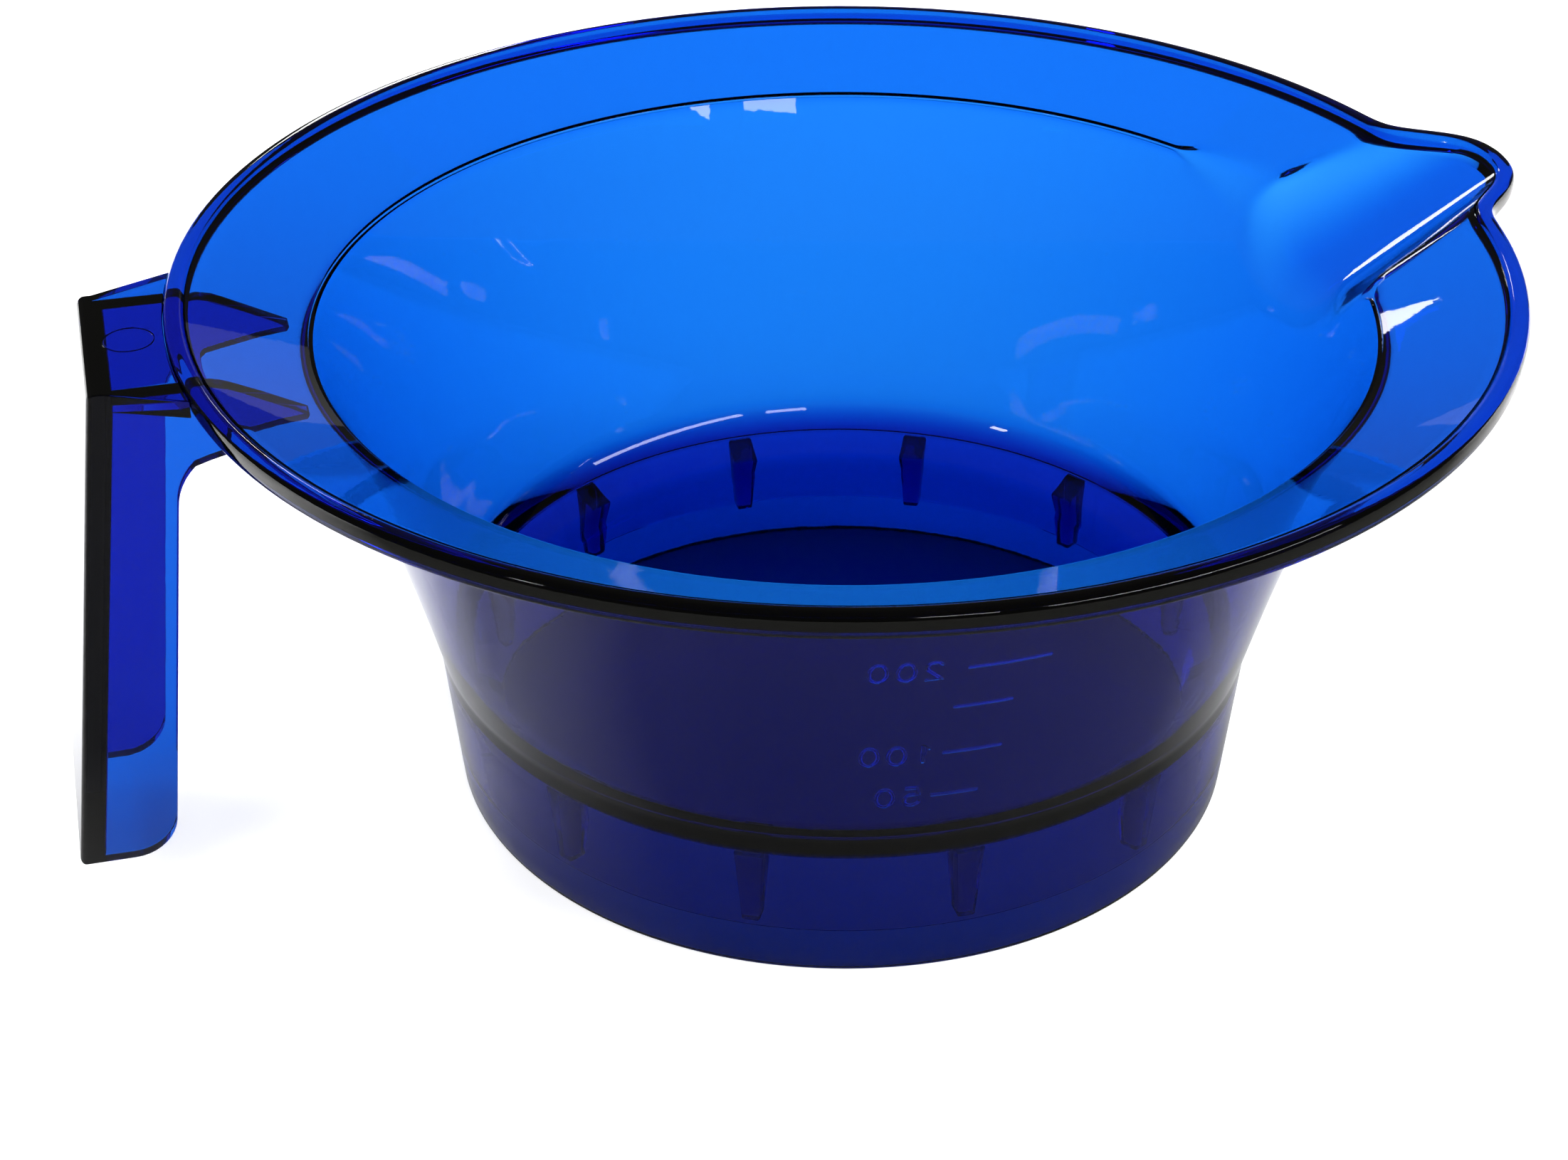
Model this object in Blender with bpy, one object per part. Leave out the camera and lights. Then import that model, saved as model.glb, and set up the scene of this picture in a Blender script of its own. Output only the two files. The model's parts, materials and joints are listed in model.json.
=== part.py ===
"""Hair colour bowl: a one-shot moulding in clear blue plastic, split at its natural features.

Metres, +Z up. The handle points along -X and the pouring spout along +X. The origin lies under
the middle of the whole outline, on the plane the bowl stands on.
"""
import math

import bmesh
import bpy
from mathutils import Vector

MM = 0.001
GAP = 0.3  # clearance between neighbouring sub-parts, all sizes below in millimetres

# Driving sizes
RIM_RADIUS = 72.0
RIM_TOP = 62.4
SHELL = 1.9  # wall thickness
SPOUT_TIP = 79.2  # from the bowl's axis
SPOUT_TURN = 3.8  # degrees the spout sits round from the line opposite the handle
HANDLE_REACH = 88.35  # from the bowl's axis
AXIS_X = (HANDLE_REACH - SPOUT_TIP * math.cos(math.radians(SPOUT_TURN))) / 2

# Bowl
KINK_Z = 18.0  # where the skirt leaves the wall
KINK_RADIUS = 46.3
FLOOR_TOP = 14.4
FLOOR_RADIUS = 36.7
CORNER = 8.6  # inside radius between floor and wall
WALL_FOOT = 21.0
WALL_TOP = 53.2
SKIRT_TOP = 17.4
SKIRT_ARC = (47.0, 33.0)  # part of the dish's underside that the skirt follows
FOOT_RADIUS = 44.6
FOOT_HEIGHT = 5.0
FOOT_THICKNESS = 1.5

# Rim
FLANGE_INNER = (57.2, 56.2)  # radius and height of the crease between wall and flange
FLANGE_OUTER = (68.9, 62.2)
CREASE_OUTER = (58.5, 54.4)  # the crease on the outside of the wall
BEAD_WIDTH = RIM_RADIUS - FLANGE_OUTER[0]
BEAD_HEIGHT = 2.7

# Spout
SPOUT_HALF_ANGLE = 18.0
SPOUT_JOIN_ANGLE = 13.5  # where the outline leaves the round rim
SPOUT_MOUTH_Z = 46.0
VALLEY_DEPTH = 5.0
VALLEY_HALF_WIDTH = 10.8  # at the crease
VALLEY_TAPER = 0.27
VALLEY_RUN = 0.47  # how steeply the wall falls inside the crease
TIP_FULLNESS = 1.15
SPOUT_STEPS = 12  # on each side of the spout's middle
SPOUT_COLUMNS = 9  # from the wall to the lip

# Ribs in the skirt
RIB_COUNT = 12
RIB_TOP_WIDTH = 3.1
RIB_BOTTOM_WIDTH = 1.9
RIB_DEPTH = 3.4
RIB_FIRST = 2.5  # degrees
RIB_TOP_OUTER = 14.6
RIB_TOP_INNER = 12.6

# Handle
HANDLE_WIDTH = 22.6
HANDLE_TOP_HALF = 14.8  # half-width of the top plate where it meets the rim
TOP_PLATE = 2.0
GRIP_PLATE = 2.7
CHEEK = 2.2
GRIP_TOP = (-80.35, 61.5)
GRIP_BOTTOM = (-HANDLE_REACH, 4.7)
TOE_X = -82.4
TOE_RADIUS = 5.0
FILLET_CENTRE = (-65.9, 47.0)
FILLET_RADIUS = 7.0
GUSSET_TOP = 59.1
GUSSET_END = (-61.5, 55.4)
GUSSET_UNDERSIDE = ((-64.5, 54.6), (-67.6, 53.4), (-70.2, 52.4))
CHEEK_FOOT = 50.4  # where the cheek and the gusset part under the rim

# Graduation, raised on the inside of the front wall
MARK_HEIGHTS = {"50": 24.3, "100": 30.7, "150": 37.6, "200": 43.5}
TICK_LENGTHS = {"50": 4.8, "100": 6.0, "150": 6.0, "200": 8.4}
TICK_STARTS = {"50": -94.0, "100": -93.2, "150": -92.7, "200": -91.8}  # degrees round the bowl
NUMERAL_STARTS = {"50": -96.4, "100": -95.4, "200": -95.4}
DIGIT_HEIGHT = 2.6
DIGIT_WIDTH = 1.7
DIGIT_PITCH = 2.7
STROKE = 0.22

SEGMENTS = 72


def clear_scene():
    for obj in list(bpy.data.objects):
        bpy.data.objects.remove(obj, do_unlink=True)


def material(name, colour, roughness, alpha=1.0):
    made = bpy.data.materials.new(name)
    made.use_nodes = True
    shader = made.node_tree.nodes["Principled BSDF"]
    shader.inputs["Base Color"].default_value = (*colour, 1.0)
    shader.inputs["Roughness"].default_value = roughness
    shader.inputs["Metallic"].default_value = 0.0
    shader.inputs["Alpha"].default_value = alpha
    return made


def add_object(name, bm, skin):
    """Scale from millimetres about the bowl's axis, close normals and link one object."""
    bmesh.ops.recalc_face_normals(bm, faces=bm.faces)
    for vert in bm.verts:
        vert.co *= MM
    mesh = bpy.data.meshes.new(name)
    bm.to_mesh(mesh)
    bm.free()
    mesh.materials.append(skin)
    mesh.shade_smooth()
    mesh.set_sharp_from_angle(angle=math.radians(35))
    obj = bpy.data.objects.new(name, mesh)
    obj.location.x = AXIS_X * MM
    bpy.context.scene.collection.objects.link(obj)
    return obj


def polar(radius, degrees, z):
    angle = math.radians(degrees)
    return Vector((radius * math.cos(angle), radius * math.sin(angle), z))


def outer_radius(z):
    """Outside of the wall: a cone at the foot that flares more and more towards the rim."""
    rise = z - KINK_Z
    return KINK_RADIUS + 0.255 * rise + 0.0000588 * rise**3


def wall_slope(z):
    return 0.255 + 0.0001764 * (z - KINK_Z) ** 2


def inner_radius(z):
    return outer_radius(z) - SHELL * math.hypot(1.0, wall_slope(z))


def skirt_outer(z):
    return FOOT_RADIUS + (KINK_RADIUS - FOOT_RADIUS) * z / KINK_Z


def loft(name, sections, skin, closed_path):
    """Bridge equal closed sections into one body, with flat ends where the path is open."""
    bm = bmesh.new()
    rings = [[bm.verts.new(point) for point in section] for section in sections]
    count = len(rings[0])
    pairs = list(zip(rings, rings[1:]))
    if closed_path:
        pairs.append((rings[-1], rings[0]))
    for first, second in pairs:
        for i in range(count):
            j = (i + 1) % count
            bm.faces.new((first[i], first[j], second[j], second[i]))
    if not closed_path:
        bm.faces.new(rings[0])
        bm.faces.new(list(reversed(rings[-1])))
    return add_object(name, bm, skin)


def turned_ring(name, profile, skin, start=0.0, end=360.0):
    """Turn a closed (radius, z) profile about the bowl's axis through start..end degrees."""
    whole = end - start >= 360.0
    steps = max(4, round(SEGMENTS * (end - start) / 360.0))
    count = steps if whole else steps + 1
    sections = []
    for step in range(count):
        degrees = start + (end - start) * step / steps
        sections.append([polar(radius, degrees, z) for radius, z in profile])
    return loft(name, sections, skin, whole)


def turned_dish(name, upper, lower, skin):
    """Turn a solid whose upper and lower (radius, z) lines both start on the axis."""
    bm = bmesh.new()
    profile = list(upper[1:]) + list(reversed(lower[1:]))
    rings = []
    for step in range(SEGMENTS):
        degrees = 360.0 * step / SEGMENTS
        rings.append([bm.verts.new(polar(radius, degrees, z)) for radius, z in profile])
    top = bm.verts.new((0, 0, upper[0][1]))
    bottom = bm.verts.new((0, 0, lower[0][1]))
    for step in range(SEGMENTS):
        first = rings[step]
        second = rings[(step + 1) % SEGMENTS]
        for i in range(len(profile) - 1):
            bm.faces.new((first[i], first[i + 1], second[i + 1], second[i]))
        bm.faces.new((top, first[0], second[0]))
        bm.faces.new((bottom, second[-1], first[-1]))
    return add_object(name, bm, skin)


def corner_arc(radius, first_angle, last_angle, steps):
    """Arc about the centre of the floor-to-wall corner, in degrees below the horizontal."""
    centre_z = FLOOR_TOP + CORNER
    points = []
    for step in range(steps + 1):
        angle = math.radians(first_angle + (last_angle - first_angle) * step / steps)
        points.append((FLOOR_RADIUS + radius * math.cos(angle), centre_z - radius * math.sin(angle)))
    return points


def wall(skin):
    heights = [WALL_FOOT + (WALL_TOP - WALL_FOOT) * i / 6 for i in range(7)]
    outside = [(outer_radius(z), z) for z in heights] + [CREASE_OUTER]
    inside = [(inner_radius(z), z) for z in heights] + [FLANGE_INNER]
    body = turned_ring("bowl_wall", outside + list(reversed(inside)), skin)
    # A sector-shaped cutter takes out the top of the wall where the spout runs into the bowl.
    half = SPOUT_HALF_ANGLE + 0.4
    near, far = RIM_RADIUS / 2, RIM_RADIUS + 10.0
    corners = [(near, -half), (far, -half), (far, half), (near, half)]
    base = [polar(radius, degrees, SPOUT_MOUTH_Z) for radius, degrees in corners]
    head = [polar(radius, degrees, RIM_TOP + 5.0) for radius, degrees in corners]
    cutter = loft("wall_notch_cutter", [base, head], skin, False)
    turn_with_spout(cutter)
    cutter.hide_render = True
    cutter.display_type = "WIRE"
    notch = body.modifiers.new("spout notch", "BOOLEAN")
    notch.operation = "DIFFERENCE"
    notch.solver = "EXACT"
    notch.object = cutter


def turn_with_spout(obj):
    obj.rotation_euler.z = math.radians(SPOUT_TURN)


def floor(skin):
    tilt = math.degrees(math.atan(wall_slope(WALL_FOOT)))
    upper_arc = corner_arc(CORNER, 90.0, tilt, 5)
    lower_arc = corner_arc(CORNER + SHELL, 90.0, tilt + 2.0, 5)
    upper = [(0.0, FLOOR_TOP)] + upper_arc
    lower = [(0.0, FLOOR_TOP - SHELL)] + lower_arc
    turned_dish("bowl_floor", upper, lower, skin)


def skirt(skin):
    arc = corner_arc(CORNER + SHELL + GAP, *SKIRT_ARC, 3)
    inside = [(skirt_outer(FOOT_HEIGHT) - SHELL, FOOT_HEIGHT + GAP)] + arc
    outside = [(skirt_outer(SKIRT_TOP), SKIRT_TOP), (skirt_outer(FOOT_HEIGHT), FOOT_HEIGHT + GAP)]
    turned_ring("base_skirt", inside + outside, skin)
    foot = [
        (FOOT_RADIUS, 0.0),
        (skirt_outer(FOOT_HEIGHT), FOOT_HEIGHT),
        (skirt_outer(FOOT_HEIGHT) - FOOT_THICKNESS, FOOT_HEIGHT),
        (FOOT_RADIUS - FOOT_THICKNESS, 0.0),
    ]
    turned_ring("foot_ring", foot, skin)


def ribs(skin):
    low = FOOT_HEIGHT + 2 * GAP
    outer_low = skirt_outer(low) - SHELL - GAP
    outer_high = skirt_outer(RIB_TOP_OUTER) - SHELL - GAP
    inner_low = outer_low - 0.6 * RIB_DEPTH
    inner_high = outer_high - RIB_DEPTH
    # radius, z and half-width of the rib's corners
    corners = (
        (outer_low, low, RIB_BOTTOM_WIDTH / 2),
        (outer_high, RIB_TOP_OUTER, RIB_TOP_WIDTH / 2),
        (inner_high, RIB_TOP_INNER, RIB_TOP_WIDTH / 2),
        (inner_low, low, RIB_BOTTOM_WIDTH / 2),
    )
    for index in range(RIB_COUNT):
        degrees = RIB_FIRST + 360.0 * index / RIB_COUNT
        along = polar(1.0, degrees, 0.0)
        across = Vector((-along.y, along.x, 0.0))
        sections = []
        for side in (-1, 1):
            section = [along * r + across * (side * half) + Vector((0, 0, z)) for r, z, half in corners]
            sections.append(section)
        loft(f"skirt_rib_{index + 1:02d}", sections, skin, False)


def bead_profile():
    """Rounded edge section, as (offset inwards from the outline, height)."""
    middle = BEAD_WIDTH / 2
    points = []
    for step in range(10):
        angle = math.radians(36.0 * step)
        across = middle - middle * math.cos(angle)
        up = RIM_TOP - BEAD_HEIGHT / 2 + BEAD_HEIGHT / 2 * math.sin(angle)
        points.append((across, up))
    return points


def rim(skin):
    start = SPOUT_TURN + SPOUT_HALF_ANGLE + 0.2
    end = 360.0 + SPOUT_TURN - SPOUT_HALF_ANGLE - 0.2
    lean = math.atan2(FLANGE_OUTER[1] - FLANGE_INNER[1], FLANGE_OUTER[0] - FLANGE_INNER[0])
    drop_r = SHELL * math.sin(lean)
    drop_z = SHELL * math.cos(lean)
    inner_r = FLANGE_INNER[0] + GAP
    inner_z = FLANGE_INNER[1] + GAP
    outer_r = FLANGE_OUTER[0] - GAP
    outer_z = FLANGE_OUTER[1] - GAP
    flange = [
        (inner_r, inner_z),
        (outer_r, outer_z),
        (outer_r, outer_z - SHELL),
        (inner_r + drop_r + 0.5, inner_z - drop_z + 0.2),
    ]
    turned_ring("rim_flange", flange, skin, start, end)
    bead = [(RIM_RADIUS - across, z) for across, z in bead_profile()]
    turned_ring("rim_bead", bead, skin, start, end)


def outline_radius(degrees):
    """Plan outline of the rim: a circle that swells into the spout's rounded tip."""
    turn = abs(degrees) / SPOUT_JOIN_ANGLE
    if turn >= 1.0:
        return RIM_RADIUS
    swell = (0.5 + 0.5 * math.cos(math.pi * turn)) ** TIP_FULLNESS
    return RIM_RADIUS + (SPOUT_TIP - RIM_RADIUS) * swell


def lip_frame(degrees):
    """Point on the outline at this direction, and the outline's outward normal there."""
    here = polar(outline_radius(degrees), degrees, 0.0)
    ahead = polar(outline_radius(degrees + 0.2), degrees + 0.2, 0.0)
    behind = polar(outline_radius(degrees - 0.2), degrees - 0.2, 0.0)
    along = (ahead - behind).normalized()
    return here, Vector((along.y, -along.x, 0.0))


def spout_surface(x, y):
    """Height of the upper surface around the spout: wall and flange, lowered along the valley."""
    radius = math.hypot(x, y)
    run = (FLANGE_OUTER[1] - FLANGE_INNER[1]) / (FLANGE_OUTER[0] - FLANGE_INNER[0])
    if radius < FLANGE_INNER[0]:
        base = FLANGE_INNER[1] - (FLANGE_INNER[0] - radius) / VALLEY_RUN
    else:
        base = min(FLANGE_INNER[1] + run * (radius - FLANGE_INNER[0]), FLANGE_OUTER[1])
    half = max(2.0, VALLEY_HALF_WIDTH - VALLEY_TAPER * (x - FLANGE_INNER[0]))
    bed = FLANGE_INNER[1] - VALLEY_DEPTH + run * (x - FLANGE_INNER[0])
    bed += VALLEY_DEPTH * min(4.0, (y / half) ** 2)
    return min(base, bed)


def spout(skin):
    angles = [SPOUT_HALF_ANGLE * (i / SPOUT_STEPS - 1) for i in range(2 * SPOUT_STEPS + 1)]
    first_radius = inner_radius(SPOUT_MOUTH_Z) + 0.5
    bm = bmesh.new()
    upper = []
    lower = []
    for degrees in angles:
        here, outward = lip_frame(degrees)
        last = here - outward * (BEAD_WIDTH + 1.3 * GAP)
        first = polar(first_radius, degrees, 0.0)
        row_up = []
        row_down = []
        for step in range(SPOUT_COLUMNS + 1):
            point = first.lerp(last, step / SPOUT_COLUMNS)
            radius = point.length
            point.z = spout_surface(point.x, point.y)
            row_up.append(bm.verts.new(point))
            sink = SHELL * (1.25 if radius > FLANGE_INNER[0] else 1.9)
            under = max(point.z - sink, SPOUT_MOUTH_Z + GAP)
            row_down.append(bm.verts.new((point.x, point.y, under)))
        upper.append(row_up)
        lower.append(row_down)
    rows = len(upper)
    columns = len(upper[0])
    for i in range(rows - 1):
        for j in range(columns - 1):
            bm.faces.new((upper[i][j], upper[i][j + 1], upper[i + 1][j + 1], upper[i + 1][j]))
            bm.faces.new((lower[i][j], lower[i + 1][j], lower[i + 1][j + 1], lower[i][j + 1]))
    for j in range(columns - 1):
        for i in (0, rows - 1):
            bm.faces.new((upper[i][j], upper[i][j + 1], lower[i][j + 1], lower[i][j]))
    for i in range(rows - 1):
        for j in (0, columns - 1):
            bm.faces.new((upper[i][j], upper[i + 1][j], lower[i + 1][j], lower[i][j]))
    turn_with_spout(add_object("pour_spout", bm, skin))


def spout_lip(skin):
    """The rim's rounded edge, carried round the spout's tip."""
    angles = [SPOUT_HALF_ANGLE * (i / SPOUT_STEPS - 1) for i in range(2 * SPOUT_STEPS + 1)]
    sections = []
    for degrees in angles:
        here, outward = lip_frame(degrees)
        section = [here - outward * across + Vector((0, 0, z)) for across, z in bead_profile()]
        sections.append(section)
    turn_with_spout(loft("spout_lip", sections, skin, False))


def handle_top(skin):
    clear = RIM_RADIUS + GAP
    edge = [(GRIP_TOP[0], -HANDLE_WIDTH / 2)]
    for step in range(9):
        y = HANDLE_TOP_HALF * (step / 4 - 1)
        edge.append((-math.sqrt(clear**2 - y**2), y))
    edge.append((GRIP_TOP[0], HANDLE_WIDTH / 2))
    top = GRIP_TOP[1]
    sections = [[Vector((x, y, z)) for x, y in edge] for z in (top - TOP_PLATE, top)]
    loft("handle_top_plate", sections, skin, False)


def grip_line(z, inset):
    """x on the grip's leaning outer face at height z, moved towards the bowl by inset."""
    share = (GRIP_TOP[1] - z) / (GRIP_TOP[1] - GRIP_BOTTOM[1])
    return GRIP_TOP[0] + (GRIP_BOTTOM[0] - GRIP_TOP[0]) * share + inset


def handle_grip(skin):
    top = GRIP_TOP[1] - TOP_PLATE - GAP
    corners = (
        (grip_line(top, 0.0), top),
        (grip_line(GRIP_BOTTOM[1], 0.0), GRIP_BOTTOM[1]),
        (grip_line(GRIP_BOTTOM[1], GRIP_PLATE), GRIP_BOTTOM[1]),
        (grip_line(top, GRIP_PLATE), top),
    )
    half = HANDLE_WIDTH / 2
    sections = [[Vector((x, y, z)) for x, z in corners] for y in (-half, half)]
    loft("handle_grip_plate", sections, skin, False)


def handle_sides(skin):
    """The two cheeks of the channel, with a rounded lower corner and a large upper fillet."""
    top = GRIP_TOP[1] - TOP_PLATE - GAP
    low = GRIP_BOTTOM[1]
    inset = GRIP_PLATE + GAP
    outline = [(grip_line(top, inset), top), (grip_line(low, inset), low)]
    for step in range(5):
        angle = math.radians(-90.0 + 20.0 * step)
        x = TOE_X + TOE_RADIUS * math.cos(angle)
        outline.append((x, low + TOE_RADIUS * (1.0 + math.sin(angle))))
    for step in range(3):
        angle = math.radians(176.0 - 12.0 * step)
        x = FILLET_CENTRE[0] + FILLET_RADIUS * math.cos(angle)
        outline.append((x, FILLET_CENTRE[1] + FILLET_RADIUS * math.sin(angle)))
    outline.append((-RIM_RADIUS - GAP, CHEEK_FOOT - GAP))
    outline.append((-RIM_RADIUS - GAP, top))
    for name, side in (("handle_side_front", -1), ("handle_side_back", 1)):
        near = side * (HANDLE_WIDTH / 2 - CHEEK)
        far = side * HANDLE_WIDTH / 2
        sections = [[Vector((x, y, z)) for x, z in outline] for y in (near, far)]
        loft(name, sections, skin, False)


def gussets(skin):
    """Webs that carry the cheeks on under the flange."""
    outline = [(-RIM_RADIUS, GUSSET_TOP), (-FLANGE_OUTER[0], GUSSET_TOP), GUSSET_END]
    outline += [*GUSSET_UNDERSIDE, (-RIM_RADIUS, CHEEK_FOOT)]
    for name, side in (("gusset_front", -1), ("gusset_back", 1)):
        near = side * (HANDLE_WIDTH / 2 - CHEEK)
        far = side * HANDLE_WIDTH / 2
        sections = [[Vector((x, y, z)) for x, z in outline] for y in (near, far)]
        loft(name, sections, skin, False)


def stroke_points(digit):
    """Middle line of a digit in a box one unit wide and high, and whether it closes."""
    if digit == "0":
        turn = [2 * math.pi * i / 14 for i in range(14)]
        return [(0.5 * math.cos(a), 0.5 * math.sin(a)) for a in turn], True
    if digit == "1":
        return [(-0.3, 0.25), (0.05, 0.5), (0.05, -0.5)], False
    if digit == "2":
        bend = [math.radians(160 - 35 * i) for i in range(6)]
        arc = [(0.45 * math.cos(a), 0.25 + 0.25 * math.sin(a)) for a in bend]
        return arc + [(-0.45, -0.5), (0.5, -0.5)], False
    bend = [math.radians(100 - 40 * i) for i in range(7)]
    arc = [(-0.02 + 0.45 * math.cos(a), -0.19 + 0.31 * math.sin(a)) for a in bend]
    return [(0.42, 0.5), (-0.35, 0.5), (-0.42, 0.02)] + arc, False


def on_wall(across, z, angle, lift):
    """Point on the inside of the wall; across runs to the right as seen from inside the bowl."""
    radius = inner_radius(z) - lift
    return polar(radius, angle - math.degrees(across / radius), z)


def stroke_object(name, points, closed, skin):
    curve = bpy.data.curves.new(name, "CURVE")
    curve.dimensions = "3D"
    curve.bevel_depth = STROKE * MM
    curve.bevel_resolution = 0
    curve.use_fill_caps = True
    spline = curve.splines.new("POLY")
    spline.points.add(len(points) - 1)
    for slot, point in zip(spline.points, points):
        slot.co = (*(point * MM), 1.0)
    spline.use_cyclic_u = closed
    curve.materials.append(skin)
    obj = bpy.data.objects.new(name, curve)
    obj.location.x = AXIS_X * MM
    bpy.context.scene.collection.objects.link(obj)


def graduation(skin):
    lift = GAP + 2 * STROKE
    for label, height in MARK_HEIGHTS.items():
        span = TICK_LENGTHS[label]
        points = [on_wall(-span * i / 3, height, TICK_STARTS[label], lift) for i in range(4)]
        stroke_object(f"graduation_tick_{label}", points, False, skin)
    for label, start in NUMERAL_STARTS.items():
        for place, digit in enumerate(label):
            outline, closed = stroke_points(digit)
            points = []
            for u, v in outline:
                across = place * DIGIT_PITCH + u * DIGIT_WIDTH
                z = MARK_HEIGHTS[label] + v * DIGIT_HEIGHT
                points.append(on_wall(across, z, start, lift))
            stroke_object(f"numeral_{label}_digit_{place + 1}", points, closed, skin)


def main():
    clear_scene()
    shell = material("clear_blue_plastic", (0.01, 0.09, 0.75), 0.06, 0.6)
    handle = material("clear_blue_handle", (0.01, 0.05, 0.6), 0.08, 0.7)
    marks = material("raised_marks", (0.01, 0.08, 0.6), 0.12, 0.7)
    wall(shell)
    floor(shell)
    skirt(shell)
    ribs(shell)
    rim(shell)
    spout(shell)
    spout_lip(shell)
    handle_top(handle)
    handle_grip(handle)
    handle_sides(handle)
    gussets(handle)
    graduation(marks)


main()
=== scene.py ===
import json
import math

import bmesh
import bpy
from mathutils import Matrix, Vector

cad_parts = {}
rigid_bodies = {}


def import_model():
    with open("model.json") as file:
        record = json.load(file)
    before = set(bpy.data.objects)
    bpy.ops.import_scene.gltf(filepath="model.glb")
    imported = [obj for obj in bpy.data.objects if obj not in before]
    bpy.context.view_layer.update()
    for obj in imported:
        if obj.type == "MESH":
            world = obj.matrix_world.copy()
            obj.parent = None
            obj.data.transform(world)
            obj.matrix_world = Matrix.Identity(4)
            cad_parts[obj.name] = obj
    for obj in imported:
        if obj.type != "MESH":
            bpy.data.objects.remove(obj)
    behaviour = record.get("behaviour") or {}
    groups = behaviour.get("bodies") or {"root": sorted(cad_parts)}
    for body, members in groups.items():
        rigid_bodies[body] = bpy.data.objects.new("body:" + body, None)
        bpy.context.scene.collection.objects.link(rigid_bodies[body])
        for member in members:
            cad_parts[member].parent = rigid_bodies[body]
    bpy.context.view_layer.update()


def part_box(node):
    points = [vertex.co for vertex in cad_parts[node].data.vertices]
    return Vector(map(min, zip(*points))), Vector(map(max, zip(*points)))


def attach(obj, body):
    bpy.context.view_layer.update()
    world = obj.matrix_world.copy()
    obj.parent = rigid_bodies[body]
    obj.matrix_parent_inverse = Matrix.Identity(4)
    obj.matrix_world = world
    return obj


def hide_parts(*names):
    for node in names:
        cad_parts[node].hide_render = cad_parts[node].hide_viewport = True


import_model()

mm = 0.001  # the shapes below are in millimetres about the bowl's axis

floorLow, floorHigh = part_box("bowl_floor")
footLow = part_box("foot_ring")[0]
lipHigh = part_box("spout_lip")[1]
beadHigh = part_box("rim_bead")[1]
gripLow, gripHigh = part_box("handle_grip_plate")
topLow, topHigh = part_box("handle_top_plate")

axisX = (floorLow.x + floorHigh.x) / 2 / mm  # the bowl's own axis, in millimetres
rimTop = beadHigh.z / mm
spoutTurn = 3.8  # degrees the spout sits round from the line opposite the handle
spoutTip = (lipHigh.x / mm - axisX) / math.cos(math.radians(spoutTurn))
handleReach = axisX - gripLow.x / mm
handleHalf = gripHigh.y / mm
handleTop = topHigh.z / mm
print("frame read: axis %.3f, rim top %.2f, spout tip %.2f" % (axisX, rimTop, spoutTip))

bowl = {
    "rimRadius": 72.0,
    "skin": 1.9,  # wall thickness
    "kinkZ": 18.0,  # where the skirt leaves the wall
    "kinkRadius": 46.3,
    "wallLean": 0.255,  # how fast the wall widens at the kink
    "wallFlare": 0.0000588,  # and how much more it flares towards the rim
    "filletEnd": 24.0,  # height where the floor's rounded corner gives way to the plain wall
    "floorTop": 14.4,
    "floorRadius": 36.7,
    "corner": 8.6,  # inside radius between floor and wall
    "footRadius": 44.6,
    "footHeight": 5.0,
    "footThick": 1.5,
    "gapRoof": 15.1,  # top of the narrow gap between skirt and dish
    "creaseZ": 56.2,  # inside crease between wall and flange
    "flangeEndZ": 62.0,
    "beadWidth": 2.3,
    "beadHeight": 2.7,
    "beadSquare": 3.0,  # 2 is a round bead, more is squarer
    "creaseGroove": 0.8,  # pull of the fine groove along the crease
    "edge": 0.3,  # rounding of the foot's edges
}

spout = {
    "creaseHalf": 14.2,  # half-angle of the channel where it leaves the wall
    "rimHalf": 10.0,  # half-angle of the channel at the rim
    "fade": 26.0,  # past this angle the section is the plain round one
    "creaseDrop": 6.5,
    "channelPower": 2.8,
    "rimDrop": 0.35,
    "tipRise": 0.6,  # how far the lip climbs above the rim at the tip
    "flankLean": 54.2,  # degrees between the spout's axis and its flank's normal
    "flankReach": 51.3,
    "tipSoft": 2.2,
    "rootSoft": 0.9,
    "roundPlain": 0.35,  # rounding of the crease away from the spout
    "roundSpout": 4.2,
    "nearBlend": 3.0,  # degrees over which the crease softens, on the side nearest the marks
    "farBlend": 13.0,
}


def outerRadius(z):
    rise = z - bowl["kinkZ"]
    return bowl["kinkRadius"] + bowl["wallLean"] * rise + bowl["wallFlare"] * rise**3


def wallSlope(z):
    return bowl["wallLean"] + 3.0 * bowl["wallFlare"] * (z - bowl["kinkZ"]) ** 2


def innerRadius(z):
    return outerRadius(z) - bowl["skin"] * math.hypot(1.0, wallSlope(z))


def skirtOuter(z):
    return bowl["footRadius"] + (bowl["kinkRadius"] - bowl["footRadius"]) * z / bowl["kinkZ"]


def polar(radius, degrees, z=0.0):
    angle = math.radians(degrees)
    return Vector((radius * math.cos(angle), radius * math.sin(angle), z))


def softMax(a, b, soft):
    high = max(a, b)
    return high + soft * math.log(1.0 + math.exp(-abs(a - b) / soft))


def softMin(a, b, soft):
    return -softMax(-a, -b, soft)


def rimOutline(turned):
    # plan radius of the rim at this many degrees from the spout's middle
    if abs(turned) > spout["fade"]:
        return bowl["rimRadius"]
    lean = math.radians(spout["flankLean"])
    side = math.radians(abs(turned))
    flank = spout["flankReach"] / (math.cos(lean) * math.cos(side) + math.sin(lean) * math.sin(side))
    lip = softMin(flank, spoutTip, spout["tipSoft"])
    return softMax(lip, bowl["rimRadius"], spout["rootSoft"])


def rimPoint(turned):
    # point on the rim's outline and the outward normal there
    here = polar(rimOutline(turned), turned)
    along = polar(rimOutline(turned + 0.1), turned + 0.1) - polar(rimOutline(turned - 0.1), turned - 0.1)
    along.normalize()
    return here, Vector((along.y, -along.x, 0.0))


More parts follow.
